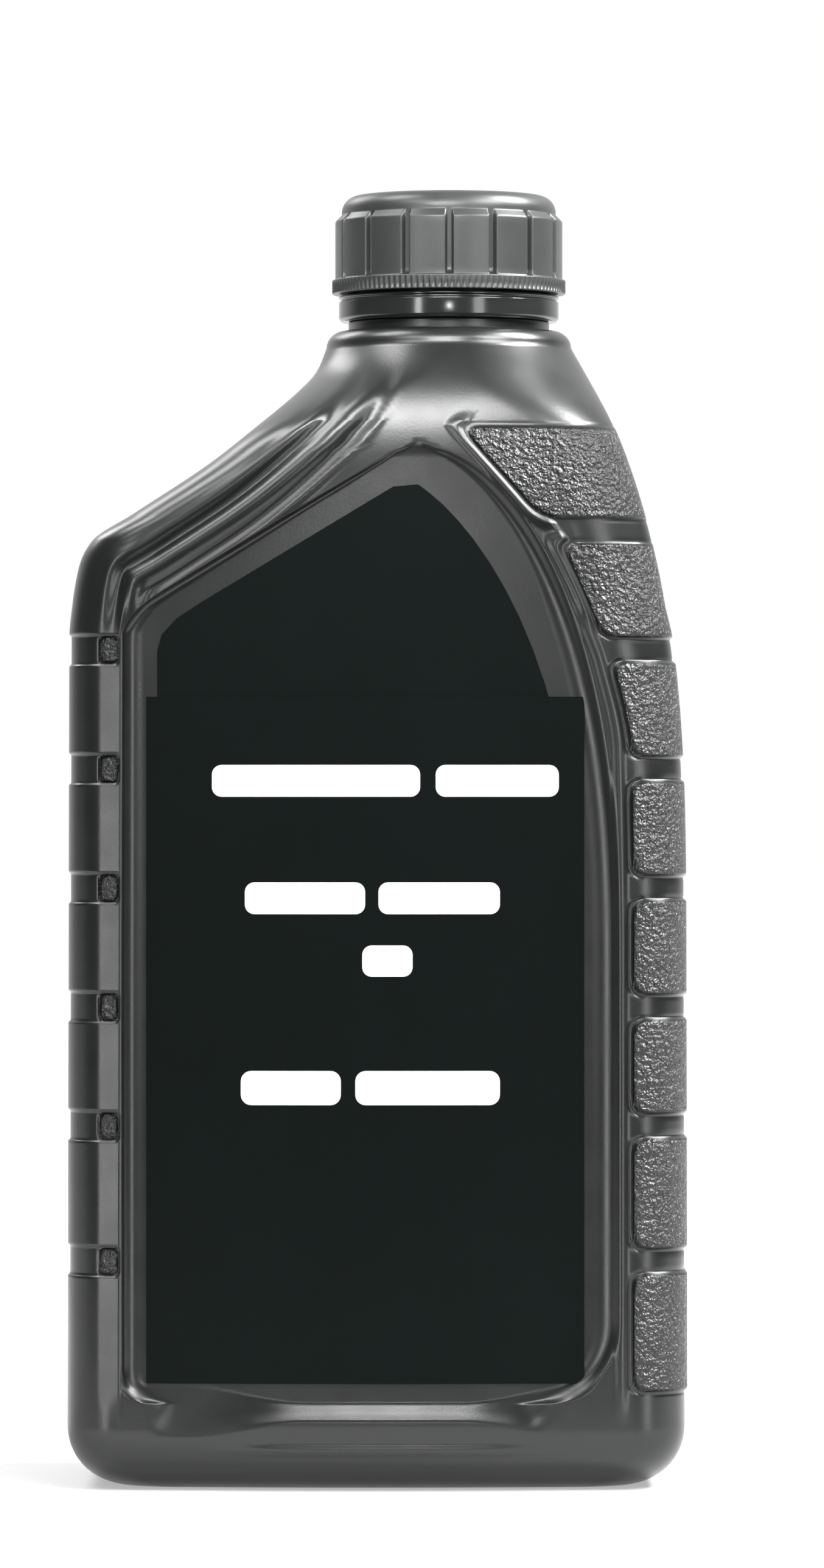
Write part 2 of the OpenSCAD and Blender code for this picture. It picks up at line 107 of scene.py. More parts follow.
# Grip pads and level marks
MARK_LOW_H = 39.8
MARK_FIRST_STEP = 23.4
MARK_STEP = 20.6
MARK_COUNT = 6
MARK_HALF_H = 2.6
MARK_DEPTH = 0.4
MARK_CORNER = 1.2
MARK_LEFT_X = -48.4
MARK_RIGHT_X = -44.6
GAP_COUNT = 7
GAP_HALF_H = 2
PAD_RISE = 0.5
PAD_FOOT_H = 17.1
PAD_TOP_H = SHOULDER_H - 17.8
PAD_STATIONS = [(0, 0), (0.37, 0.015), (0.54, 0.115), (0.61, 0.19), (0.78, 0.42), (0.84, 0.56), (1, 0.97)]
LIPPED_PAD_H = 148
PAD_CORNER = 3.2
PAD_LIP = 0.5
PAD_GROOVE = 0.3
FRAME_RIDGE = 0.38
GRAIN_SCALE = 1200
GRAIN_DEPTH = 1.3

# Neck, cap and tamper band
NECK_X = 12.5
BORE_R = 14.3
NECK_R = 16.2
COLLAR_R = 17.7
COLLAR_TOP_H = SHOULDER_H + 1.6
LIP_H = COLLAR_TOP_H + 19.6
BEAD_R = 17.6
BEAD_FOOT_H = COLLAR_TOP_H + 2.15
CAP_R = 20.05
CAP_FOOT_H = COLLAR_TOP_H + 4.9
CAP_IN_R = 18
CAP_CEILING_H = LIP_H + 0.9
CAP_TOP_H = CAP_CEILING_H + 1.75
CAP_EDGE_R = 3
GROOVE_R = 18.9
GROOVE_W = 1.2
GROOVE_COUNT = 16
TOOTH_RING_R = 20.6
TOOTH_RING_H = 2.5
TOOTH_COUNT = 120
TOOTH_DEPTH = 0.35
BAND_R = 19.4
BAND_H = 4.55
THREAD_LEAD = 6
THREAD_TURNS = 1.5
THREAD_FOOT_H = COLLAR_TOP_H + 7.2
NECK_THREAD_R = 17.45
CAP_THREAD_R = 16.75

# Print on the sticker: the foot and top of each line, and the left and right of its plain word bars
WORD_LINES = [
    (120.2, 125.7, [(-28.6, 7.4), (10.1, 31.4)]),
    (99.9, 105.4, [(-22.9, -2.1), (0.2, 21.2)]),
    (89.1, 94.5, [(-2.6, 6.1)]),
    (66.9, 72.8, [(-23.6, -6.3), (-3.8, 21.2)]),
]
STICKER_FACE_R = PANEL_CROWN_R + 0.33


def mix(a, b, t):
    return a + (b - a) * t


def share(t):
    return np.clip(t, 0, 1)


def ease(t):
    s = share(t)
    return s * s * (3 - 2 * s)


def bump(t):
    """One smooth hump between t = -1 and t = 1, one high at t = 0."""
    return ease(1 - np.abs(t))


def round_max(a, b, k):
    """The larger of two values, with a round change from one to the other."""
    h = np.maximum(k - np.abs(a - b), 0) / k
    return np.maximum(a, b) + h * h * k / 4


def round_min(a, b, k):
    return -round_max(-a, -b, k)


def curve(stations, t):
    """A smooth curve through the stations that never turns back between them."""
    x, y = np.array(stations, dtype=float).T
    slope = np.diff(y) / np.diff(x)
    tangent = np.zeros(len(x))
    tangent[-1] = slope[-1]
    product = slope[:-1] * slope[1:]
    tangent[1:-1] = np.where(product > 0, 2 * product / (slope[:-1] + slope[1:] + 1e-12), 0)
    i = np.clip(np.searchsorted(x, t, side="right") - 1, 0, len(x) - 2)
    w = x[i + 1] - x[i]
    u = (t - x[i]) / w
    return (y[i] * (1 + 2 * u) * (1 - u) ** 2 + tangent[i] * w * u * (1 - u) ** 2
            + y[i + 1] * u * u * (3 - 2 * u) + tangent[i + 1] * w * u * u * (u - 1))


# Outlines of the body and of what lies on it, seen from the front
def lean(z):
    return SIDE_LEAN * z / SHOULDER_H


def left_x(z):
    t = share((z - LEFT_SHOULDER_H) / (DOME_H - LEFT_SHOULDER_H))
    return mix(-HALF_W + lean(z), NECK_X - DOME_R, curve(LEFT_STATIONS, t))


def right_x(z):
    t = share((z - RIGHT_SHOULDER_H) / (DOME_H - RIGHT_SHOULDER_H))
    return mix(HALF_W - PAD_RISE - lean(z), NECK_X + DOME_R, t ** 3.1)


def depth_at(z):
    t = share((z - FRONT_SHOULDER_H) / (DOME_H - FRONT_SHOULDER_H))
    return mix(HALF_D, DOME_R, t ** 4.5)


def foot_inset(z, r):
    return r - math.sqrt(r * r - (r - z) ** 2) if z < r else 0


def edge_inset(z):
    """How far the round edge on top of the dome has turned in."""
    u = share((z - DOME_H) / DOME_EDGE_H)
    return (DOME_R - COLLAR_R - 0.6) * (1 - np.sqrt(1 - u * u))


def right_corner_r(z):
    return CORNER_R + RIGHT_CORNER_GAIN * ease((z - RIGHT_SHOULDER_H) / RIGHT_CORNER_SPAN)


def roundness(z):
    """How far the plan has turned from a rounded rectangle into the dome's circle."""
    return ease((z - DOME_H + MORPH_DROP) / MORPH_DROP)


def on_slope(z):
    return ease((z - LEFT_SHOULDER_H - 4) / 12)


def panel_left(z):
    drop = PANEL_TOP_H - z
    roof = PANEL_PEAK_X - PANEL_PEAK_R * math.tan(PANEL_SLOPE / 2) + 0.3 - drop / math.tan(PANEL_SLOPE)
    if drop < PANEL_PEAK_R * (1 - math.cos(PANEL_SLOPE)):
        edge = PANEL_PEAK_X - math.sqrt(max(0, PANEL_PEAK_R ** 2 - (PANEL_PEAK_R - drop) ** 2))
    else:
        edge = round_max(PANEL_LEFT_X, roof, PANEL_LEFT_BEND)
    return edge + foot_inset(max(z, PANEL_FOOT_H) - PANEL_FOOT_H, FOOT_LEFT_R)


def panel_right(z):
    t = share((PANEL_TOP_H - z) / (PANEL_TOP_H - RIGHT_SHOULDER_H + 4))
    edge = mix(PANEL_PEAK_X, PANEL_RIGHT_X, (1 - (1 - t) ** 2.5) ** (1 / 1.75))
    return edge - foot_inset(max(z, PANEL_FOOT_H) - PANEL_FOOT_H, FOOT_RIGHT_R)


def pad_left(z):
    t = share((z - RIGHT_SHOULDER_H) / (PAD_TOP_H - RIGHT_SHOULDER_H))
    return mix(PANEL_RIGHT_X + 3.4, PANEL_PEAK_X + 6, curve(PAD_STATIONS, t))


def gap_z(i):
    return MARK_LOW_H + (0 if i == 0 else MARK_FIRST_STEP + (i - 1) * MARK_STEP)


# Column groups of the body's skin, from the left side round the front to the right side
COLUMNS = {"left_side": 14, "left_corner": 36, "left_band": 36, "panel_wall": 7, "panel": 46,
           "frame": 26, "pad_edge": 10, "pad_front": 16, "right_corner": 48, "right_side": 14}


class Plan:
    """The smooth outline of the body's front half at one height, before any relief."""

    def __init__(self, z, inset=0.0):
        z = float(z)
        turn = inset + foot_inset(z, BASE_R) + edge_inset(z)
        self.z = z
        self.round = roundness(z)
        self.left = left_x(z) + turn
        self.right = right_x(z) - turn
        self.depth = depth_at(z) - turn
        half = (self.right - self.left) / 2
        self.left_corner = mix(CORNER_R, half, self.round)
        self.right_corner = mix(right_corner_r(z), half, self.round)
        self.corner_depth = mix(CORNER_R, self.depth, self.round)
        self.trace()

    def front_y(self, x):
        return -(self.depth - (1 - self.round) * x * x / (2 * FRONT_CROWN_R))

    def trace(self):
        """Dense points along the outline, with their distance from the left side."""
        a = np.linspace(0, math.pi / 2, 160)
        x0 = self.left + self.left_corner
        x1 = self.right - self.right_corner
        y0 = self.front_y(x0) + self.corner_depth
        y1 = self.front_y(x1) + self.corner_depth
        side = np.linspace(0, 1, 30)
        front = np.linspace(x0, x1, 300)
        x = [np.full(30, self.left), x0 - self.left_corner * np.cos(a), front,
             x1 + self.right_corner * np.cos(a[::-1]), np.full(30, self.right)]
        y = [y0 * side, y0 - self.corner_depth * np.sin(a), self.front_y(front),
             y1 - self.corner_depth * np.sin(a[::-1]), y1 * side[::-1]]
        self.x, self.y = np.concatenate(x), np.concatenate(y)
        step = np.hypot(np.diff(self.x), np.diff(self.y))
        self.s = np.concatenate([[0], np.cumsum(step)])
        self.ends = [0, self.s[29], self.s[189], self.s[489], self.s[649], self.s[-1]]

    def s_of_x(self, x):
        """Distance along the outline of a place on the front or on a corner."""
        return np.interp(x, self.x[30:650], self.s[30:650])

    def at(self, s):
        """Points and outward normals at distances along the outline."""
        x, y = np.interp(s, self.s, self.x), np.interp(s, self.s, self.y)
        reach = 0.15
        low, high = np.clip(s - reach, 0, self.s[-1]), np.clip(s + reach, 0, self.s[-1])
        tx = np.interp(high, self.s, self.x) - np.interp(low, self.s, self.x)
        ty = np.interp(high, self.s, self.y) - np.interp(low, self.s, self.y)
        length = np.hypot(tx, ty)
        nx, ny = ty / length, -tx / length
        nx[0], ny[0], nx[-1], ny[-1] = -1, 0, 1, 0
        return x, y, nx, ny


def columns(plan):
    """Distances along the outline of every column of the skin, with the panel's and pads' edges."""
    z = plan.z
    slope = on_slope(z)
    low_z = min(z, PANEL_TOP_H)
    band_x = plan.left + CORNER_R
    wall = mix(0.5, 1.2, slope)
    left = max(panel_left(low_z), band_x + mix(1, 2, slope))
    right = max(panel_right(low_z), left + 1)
    pad = min(max(pad_left(z), right + 2.4), plan.right - 4)
    corner_x = max(plan.right - right_corner_r(z), pad + 1)
    keys = [0, plan.ends[1]] + [plan.s_of_x(x) for x in (
        band_x, left - wall, left, right, pad - 2.6, pad + 0.9, corner_x)] + [plan.ends[4], plan.ends[5]]
    flat = [np.array([0.0])]
    for (first, last), count in zip(zip(keys, keys[1:]), COLUMNS.values()):
        flat.append(np.linspace(first, last, count + 1)[1:])
    flat = np.concatenate(flat)
    even = np.linspace(0, plan.ends[5], len(flat))
    return mix(flat, even, plan.round), left, right, pad


OUTLINE_Z = np.linspace(-10, DOME_H, 2100)
OUTLINE_X = np.array([left_x(z) for z in OUTLINE_Z])


def from_outline(x, z):
    """Distance from the left outline, seen from the front."""
    near = np.abs(OUTLINE_Z - z) < 45
    away = np.hypot(x[:, None] - OUTLINE_X[near], z - OUTLINE_Z[near])
    return away.min(axis=1)


def strip(d):
    """A flat facet along the round left corner, which ends a little proud of the front."""
    def setback(d):
        return CORNER_R - np.sqrt(CORNER_R ** 2 - np.clip(CORNER_R - d, 0, CORNER_R) ** 2)

    facet = setback(d) - setback(STRIP_IN) + (d - STRIP_IN) * math.tan(STRIP_TILT)
    return facet * ease((d - STRIP_IN) / 0.3 + 0.5) * (1 - ease((d - STRIP_OUT) / 0.9 + 0.5))


def step_share(x, z):
    """Share of the step down into the panel, steep in the middle and soft at its ends, and its lip."""
    side = ease((np.abs(x - STEP_MID_X) - STEP_HALF_W) / STEP_END_W)
    low = mix(PANEL_FOOT_H - STEP_H, STEP_END_FOOT_H, side)
    high = mix(PANEL_FOOT_H, PANEL_FOOT_H + STEP_END_RISE, side)
    lip = STEP_LIP * bump((z - PANEL_FOOT_H + STEP_H + 0.8) / 2.2)
    bead = FOOT_BEAD_RISE * bump((z - FOOT_BEAD_H) / 1.4)
    return share((z - low) / (high - low)), (lip + bead) * (1 - side)


def left_relief(x, z):
    """Ridges and beads that follow the left outline from the base up to the neck."""
    d = from_outline(x, z)
    slope = ease((z - LEFT_SHOULDER_H + 2) / 14)
    fade = 1 - ease((z - DOME_H + 20) / 17)
    bead = mix(strip(d), BEAD_RISE * bump((d - BEAD_IN) / BEAD_HALF_W), slope)
    ridges = sum(rise * bump((d - place) / half_w) for rise, place, half_w in SLOPE_RIDGES)
    return fade * (bead + slope * ridges)


def mark_masks(x, z):
    """Shares of the pressed band of each level mark, and of the outlined square at its end."""
    band, outline, grain = np.zeros_like(x), np.zeros_like(x), np.zeros_like(x)
    for i in range(MARK_COUNT):
        along = MARK_HALF_H - abs(z - gap_z(i))
        inside = round_min(along, MARK_RIGHT_X - x, MARK_CORNER)
        square = round_min(inside, x - MARK_LEFT_X, MARK_CORNER)
        band = np.maximum(band, ease(inside / 0.5 + 0.5))
        outline = np.maximum(outline, bump((square - 0.3) / 0.5))
        grain = np.maximum(grain, ease(square / 0.5))
    return band, outline, grain


def pad_distance(x, z, pad):
    """Distance inside the nearest edge of the grip pads; negative outside them."""
    across = (x - pad) * mix(1, 0.85, ease((z - LIPPED_PAD_H) / 20))
    along = min(z - PAD_FOOT_H, PAD_TOP_H - z)
    for i in range(GAP_COUNT):
        along = min(along, abs(z - gap_z(i)) - GAP_HALF_H)
    return round_min(across, np.full_like(across, along), PAD_CORNER)


def body_row(z):
    """One level of the body's skin: points, and the share of grain at each."""
    plan = Plan(z)
    s, left, right, pad = columns(plan)
    x, y, nx, ny = plan.at(s)
    flat = 1 - plan.round
    step, foot_lip = step_share(x, z)
    low = ease((FOOT_SOFT_H - z) / 5)
    left_wall = mix(mix(PANEL_WALL_W, PANEL_SLOPE_WALL_W, on_slope(z)), 5, low)
    right_wall = mix(PANEL_RIGHT_WALL_W, 7, low)
    sunk_share = (ease((x - left) / left_wall + 0.5) * ease((right - x) / right_wall + 0.55)
                  * step * ease((PANEL_TOP_H - z) / 1.6 + 0.5) * flat)
    floor_y = -(HALF_D - PANEL_DEPTH - x * x / (2 * PANEL_CROWN_R))
    sunk = np.maximum(y, floor_y) - y

    upright = ease((z - BASE_R) / 8)
    relief = np.where(x < left + 1, left_relief(x, z), 0) * upright
    marks, outline, mark_grain = mark_masks(x, z)
    relief = mix(relief, 0.5 * relief, marks) - MARK_DEPTH * marks - 0.25 * outline

    d = pad_distance(x, z, pad)
    high = ease((z - LIPPED_PAD_H) / 6)
    rise = ease(d / 0.7 + 0.4)
    near_left = ease((2.5 - (x - pad)) / 1.5)
    lip = bump((d + 0.9) / 1.3) * high * near_left
    groove = bump((d + 0.25) / 0.5) * mix(0.35, 1, near_left) * mix(1, 0.5, high)
    ridge = bump((x - pad + 1.75) / 1.5) * upright * (1 - high)
    pads = rise * PAD_RISE * mix(1, 0.2, high) + PAD_LIP * lip - PAD_GROOVE * groove + FRAME_RIDGE * ridge
    relief = relief + (x > 0) * flat * pads + foot_lip

    px = x + nx * relief
    py = y + ny * relief + sunk * sunk_share
    py[0] = py[-1] = 0
    grain = np.maximum(mark_grain, (x > 0) * ease(d / 0.6 - 0.2) * flat)
    return np.stack([px, py, np.full_like(px, z)], axis=1), grain


def body_levels():
    """Heights of the skin's rows: close together at the foot and at each edge of a pad or mark."""
    rounds = [BASE_R * (1 - math.cos(a)) for a in np.linspace(0, math.pi / 2, 15)[:-1]]
    edges = [gap_z(i) + side * half for i in range(GAP_COUNT) for side in (-1, 1)
             for half in (GAP_HALF_H, MARK_HALF_H)] + [PAD_FOOT_H, PAD_TOP_H]
    close = [edge + step for edge in edges for step in (-0.7, -0.45, -0.2, 0, 0.2, 0.45, 0.7)]
    foot = list(np.arange(5, PANEL_FOOT_H, 0.3))
    even = list(np.arange(BASE_R, PANEL_FOOT_H + 1, 0.4)) + list(np.arange(PANEL_FOOT_H + 1, DOME_H, 0.95))
    tops = [DOME_H + DOME_EDGE_H * math.sin(a) for a in np.linspace(0, math.pi / 2, 9)]
    levels = sorted(rounds + foot + close + even + tops)
    kept = [levels[0]]
    for z in levels[1:]:
        if z - kept[-1] > 0.12:
            kept.append(z)
    kept[-1] = SHOULDER_H
    return kept


def skin(name, points, grain=None, closed=False, flip=False):
    """A smooth quad mesh over rows of points; closed joins the last column to the first."""
    rows, cols = points.shape[:2]
    index = np.arange(rows * cols).reshape(rows, cols)
    right = np.roll(index, -1, axis=1) if closed else index[:, 1:]
    here = index if closed else index[:, :-1]
    faces = np.stack([here[:-1], right[:-1], right[1:], here[1:]], axis=-1).reshape(-1, 4)
    if flip:
        faces = faces[:, ::-1]
    mesh = bpy.data.meshes.new(name)
    mesh.from_pydata((points.reshape(-1, 3) * MM).tolist(), [], faces.tolist())
    mesh.polygons.foreach_set("use_smooth", np.ones(len(faces), dtype=bool))
    if grain is not None:
        layer = mesh.attributes.new("grain", "FLOAT", "POINT")
        layer.data.foreach_set("value", grain.reshape(-1).astype(np.float32))
    mesh.update()
    piece = bpy.data.objects.new(name, mesh)
    bpy.context.collection.objects.link(piece)
    return piece


def lathe(name, profile, steps, flip=False):
    """A turned piece on the neck's axis; the profile is a list of radius and height."""
    a = np.linspace(0, 2 * math.pi, steps, endpoint=False)
    rings = [np.stack([NECK_X + r * np.cos(a), r * np.sin(a), np.full(steps, h)], axis=1) for r, h in profile]
    return skin(name, np.array(rings), closed=True, flip=flip)


def rounded(profile, r, steps=4):
    """The same profile with every inner corner rounded by about r."""
    points = [np.array(p, dtype=float) for p in profile]
    out = [points[0]]
    for before, corner, after in zip(points, points[1:], points[2:]):
        a, b = before - corner, after - corner
        reach = min(r, np.linalg.norm(a) * 0.45, np.linalg.norm(b) * 0.45)
        start = corner + a / np.linalg.norm(a) * reach
        end = corner + b / np.linalg.norm(b) * reach
        out += [(1 - t) ** 2 * start + 2 * t * (1 - t) * corner + t * t * end
                for t in np.linspace(0, 1, steps)]
    return out + [points[-1]]


def subdivided(profile, most):
    """The same profile with no stretch longer than the given length."""
    out = [profile[0]]
    for (r0, z0), (r1, z1) in zip(profile, profile[1:]):
        count = max(1, math.ceil(math.hypot(r1 - r0, z1 - z0) / most))
        out += [(mix(r0, r1, i / count), mix(z0, z1, i / count)) for i in range(1, count + 1)]
    return out


def underside(foot_row):
    """Rows under the body: the push-up's line, the push-up's edge, the flat foot and its rim."""
    mid = (foot_row[0, 0] + foot_row[-1, 0]) / 2
    half_w = (foot_row[-1, 0] - foot_row[0, 0]) / 2
    half_d = np.max(-foot_row[:, 1])

    def shrunk(by, z):
        row = foot_row.copy()
        row[:, 0] = mid + (row[:, 0] - mid) * (HALF_W - BASE_R - by) / half_w
        row[:, 1] = row[:, 1] * (HALF_D - BASE_R - by) / half_d
        row[:, 2] = z
        return row

    line = shrunk(HALF_D - BASE_R, PUSH_UP)
    line[:, 1] = 0
    return [line, shrunk(FOOT_W + PUSH_UP, PUSH_UP), shrunk(FOOT_W + 0.3, 0.15), shrunk(FOOT_W, 0)]


def make_body(finish):
    """The front and back of the shell, which meet at the mould's parting line."""
    levels = body_levels()
    rows, grain = zip(*[body_row(z) for z in levels])
    under = underside(rows[0])
    last = rows[-1].copy()
    last[:, 0] = NECK_X + (last[:, 0] - NECK_X) * 0.9
    last[:, 1] *= 0.9
    points = np.array(under + list(rows) + [last])
    blank = np.zeros(len(rows[0]))
    grain = np.array([blank] * len(under) + list(grain) + [blank])
    front = skin("body_front", points, grain)
    back = skin("body_back", points * [1, -1, 1], grain, flip=True)
    for half in (front, back):
        dress(half, "bottle", finish)
        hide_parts("bottle_body")


def make_inside(finish):
    """The inner skin of the shell, one wall inside the outer one."""
    rows = []
    for z in [WALL + 0.2, 3, 6, BASE_R] + list(np.linspace(20, DOME_H - 2, 40)):
        plan = Plan(z, WALL + PANEL_DEPTH * 0.6)
        x, y, _, _ = plan.at(np.linspace(0, plan.ends[5], 72))
        row = np.stack([x, y, np.full_like(x, z + (PUSH_UP if z < 4 else 0))], axis=1)
        rows.append(np.concatenate([row, row[-2:0:-1] * [1, -1, 1]]))
    top = rows[-1].copy()
    mouth = np.array([NECK_X, 0, 0])
    reach = np.linalg.norm((top - mouth)[:, :2], axis=1)[:, None]
    for r, z in ((BORE_R + 1.2, SHOULDER_H - WALL), (BORE_R, SHOULDER_H - WALL), (BORE_R, LIP_H - 0.3)):
        ring = mouth + (top - mouth) * r / reach
        ring[:, 2] = z
        rows.append(ring)
    floor_row = rows[0].copy()
    floor_row[:, :2] *= 0.02
    inside = skin("body_inside", np.array([floor_row] + rows), closed=True, flip=True)
    dress(inside, "bottle", finish)
    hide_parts("bottle_body")


def make_neck(finish):
    profile = rounded([
        (BORE_R, LIP_H - 0.6), (BORE_R, LIP_H), (NECK_R, LIP_H), (NECK_R, BEAD_FOOT_H + 1.4),
        (BEAD_R, BEAD_FOOT_H + 0.56), (BEAD_R, BEAD_FOOT_H), (NECK_R, BEAD_FOOT_H),
        (NECK_R, COLLAR_TOP_H), (COLLAR_R, COLLAR_TOP_H), (COLLAR_R, SHOULDER_H - 0.4),
    ], 0.35)
    neck = lathe("neck_wall", profile, 192, flip=True)
    thread = make_thread("neck_thread", NECK_R - 0.15, NECK_THREAD_R, THREAD_FOOT_H)
    for piece in (neck, thread):
        dress(piece, "bottle", finish)
        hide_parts("bottle_body")


def make_thread(name, root_r, crest_r, foot_h):
    """A right-hand thread ridge that fades out at both ends."""
    turns = np.linspace(0, THREAD_TURNS, int(150 * THREAD_TURNS))
    fade = ease(turns / 0.06) * ease((THREAD_TURNS - turns) / 0.06)
    section = [(0, -1.3), (0.45, -0.95), (0.9, -0.6), (1, -0.35), (1, 0.35), (0.9, 0.6), (0.45, 0.95), (0, 1.3)]
    rows = []
    for height, width in section:
        r = mix(root_r, crest_r, height * fade)
        a = 2 * math.pi * turns
        rows.append(np.stack([
            NECK_X + r * np.cos(a), r * np.sin(a), foot_h + THREAD_LEAD * turns + width * mix(0.5, 1, fade)
        ], axis=1))
    return skin(name, np.array(rows), flip=crest_r < root_r)


def cap_radius(a, r, z):
    """Radius of the cap's outside at an angle and height: grooves above, teeth below."""
    pitch = 2 * math.pi / GROOVE_COUNT
    off = np.abs((a + math.pi / 2 + pitch / 2) % pitch - pitch / 2) * CAP_R
    ledge = CAP_FOOT_H + TOOTH_RING_H
    groove = ease((GROOVE_W / 2 - off) / 0.3 + 0.5) * ease((z - ledge) / 0.3)
    grooved = np.minimum(r, mix(r, GROOVE_R, groove))
    tooth = 0.5 + 0.5 * np.cos(TOOTH_COUNT * a)
    in_ring = ease((ledge - 0.25 - z) / 0.2) * ease((z - CAP_FOOT_H - 0.15) / 0.2)
    return grooved - TOOTH_DEPTH * in_ring * (1 - tooth)


def make_cap(finish):
    ledge = CAP_FOOT_H + TOOTH_RING_H
    slope_h = CAP_TOP_H - CAP_EDGE_R - 0.4
    arc = [(GROOVE_R - CAP_EDGE_R * (1 - math.cos(t)), CAP_TOP_H - CAP_EDGE_R * (1 - math.sin(t)))
           for t in np.linspace(0, math.pi / 2, 12)]
    outside = rounded([
        (CAP_IN_R, CAP_FOOT_H), (TOOTH_RING_R, CAP_FOOT_H), (TOOTH_RING_R, ledge), (CAP_R, ledge),
        (CAP_R, slope_h - (CAP_R - GROOVE_R)), (GROOVE_R, slope_h), arc[0],
    ], 0.3) + arc[1:] + [(10, CAP_TOP_H), (4, CAP_TOP_H), (0.01, CAP_TOP_H)]
    a = np.linspace(0, 2 * math.pi, 8 * TOOTH_COUNT, endpoint=False)
    rings = []
    for r, z in subdivided(outside, 1.2):
        ring_r = cap_radius(a, np.full_like(a, r), z)
        rings.append(np.stack([NECK_X + ring_r * np.cos(a), ring_r * np.sin(a), np.full_like(a, z)], axis=1))
    shell = skin("cap_shell", np.array(rings), closed=True)
    inner = lathe("cap_inner", rounded([
        (CAP_IN_R, CAP_FOOT_H), (CAP_IN_R, CAP_CEILING_H), (0.01, CAP_CEILING_H)], 0.4), 192, flip=True)
    thread = make_thread("cap_thread", CAP_IN_R + 0.1, CAP_THREAD_R, THREAD_FOOT_H + THREAD_LEAD / 2)
    for piece in (shell, inner, thread):
        dress(piece, "cap", finish)
        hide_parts("screw_cap")


def make_band(finish):
    foot, top = COLLAR_TOP_H, COLLAR_TOP_H + BAND_H
    profile = rounded([
        (NECK_R + 0.35, foot + 1.2), (NECK_R + 0.35, foot), (BAND_R - 0.5, foot), (BAND_R, foot + 0.6),
        (BAND_R, top - 1.1), (BAND_R - 0.3, top - 0.85), (BAND_R - 0.3, top - 0.6), (BAND_R, top - 0.45),
        (BAND_R, top - 0.2), (BAND_R - 0.2, top), (BEAD_R + 0.35, top), (BEAD_R + 0.35, foot + 1.8),
        (NECK_R + 0.35, foot + 1.2),
    ], 0.15)
    band = lathe("band_ring", profile, 192)
    dress(band, "bottle", finish)
    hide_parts("tamper_band")


def make_word_bars(finish):
    """Plain rounded bars where the sticker's words would be."""
    axis_y = PANEL_CROWN_R - HALF_D + PANEL_DEPTH
    words = [(foot, top, *ends) for foot, top, line in WORD_LINES for ends in line]
    for number, (foot, top, left, right) in enumerate(words, 1):
        r = (top - foot) * 0.3
        rows = []
        for z in foot + (top - foot) * (0.5 - 0.5 * np.cos(np.linspace(0, math.pi, 15))):
            drop = max(0, r - min(z - foot, top - z))
            cut = r - math.sqrt(max(0, r * r - drop * drop))
            x = np.linspace(left + cut, right - cut, 24)
            film = STICKER_FACE_R + 0.03
            rows.append(np.stack([x, axis_y - np.sqrt(film ** 2 - x * x), np.full_like(x, z)], axis=1))
        bar = skin(f"word_bar_{number}", np.array(rows))
        dress(bar, "bottle", finish)


def dress(piece, body, finish):
    """Gives a new piece its body and its material."""
    piece.data.materials.append(finish)
    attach(piece, body)


def dress_node(name, finish):
    """Gives a CAD node a new material."""
    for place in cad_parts[name].material_slots:
        place.material = finish


# Materials
def plastic(name, colour, roughness, fine, depth, grained=False, specular=0.5):
    """Moulded plastic: faint mottling, uneven gloss, a fine skin and, where asked, coarse grain."""
    material = bpy.data.materials.new(name)
    material.use_nodes = True
    tree = material.node_tree
    shader = tree.nodes["Principled BSDF"]
    shader.inputs["Specular IOR Level"].default_value = specular
    place = tree.nodes.new("ShaderNodeTexCoord").outputs["Object"]

    def noise(scale, detail):
        node = tree.nodes.new("ShaderNodeTexNoise")
        node.inputs["Scale"].default_value = scale
        node.inputs["Detail"].default_value = detail
        tree.links.new(place, node.inputs["Vector"])
        return node.outputs["Fac"]

    def ranged(value, low, high):
        node = tree.nodes.new("ShaderNodeMapRange")
        node.inputs["From Min"].default_value = 0.3
        node.inputs["From Max"].default_value = 0.7
        node.inputs["To Min"].default_value = low
        node.inputs["To Max"].default_value = high
        tree.links.new(value, node.inputs["Value"])
        return node.outputs["Result"]

    tint = tree.nodes.new("ShaderNodeMix")
    tint.data_type = "RGBA"
    tint.inputs["A"].default_value = (*[c * 0.88 for c in colour], 1)
    tint.inputs["B"].default_value = (*[c * 1.12 for c in colour], 1)
    tree.links.new(noise(60, 4), tint.inputs["Factor"])
    tree.links.new(tint.outputs["Result"], shader.inputs["Base Color"])
    tree.links.new(ranged(noise(140, 3), roughness * 0.92, roughness * 1.08), shader.inputs["Roughness"])

    skin_bump = tree.nodes.new("ShaderNodeBump")
    skin_bump.inputs["Strength"].default_value = 0.6
    skin_bump.inputs["Distance"].default_value = depth * MM
    tree.links.new(noise(fine, 2), skin_bump.inputs["Height"])
    normal = skin_bump.outputs["Normal"]
    if grained:
        share_of_grain = tree.nodes.new("ShaderNodeAttribute")
        share_of_grain.attribute_name = "grain"
        coarse = tree.nodes.new("ShaderNodeMath")
        coarse.operation = "MULTIPLY"
        tree.links.new(noise(GRAIN_SCALE, 3), coarse.inputs[0])
        tree.links.new(share_of_grain.outputs["Fac"], coarse.inputs[1])
        grain_bump = tree.nodes.new("ShaderNodeBump")
        grain_bump.inputs["Strength"].default_value = 1
        grain_bump.inputs["Distance"].default_value = GRAIN_DEPTH * MM
        tree.links.new(coarse.outputs["Value"], grain_bump.inputs["Height"])
        tree.links.new(normal, grain_bump.inputs["Normal"])
        normal = grain_bump.outputs["Normal"]
    tree.links.new(normal, shader.inputs["Normal"])
    return material


# Camera, lights and floor
CAMERA_PLACE = (0.006, -1.45, 0.1224)
CAMERA_LENS = 188.5
FLOOR_NEAR_Y = -0.13


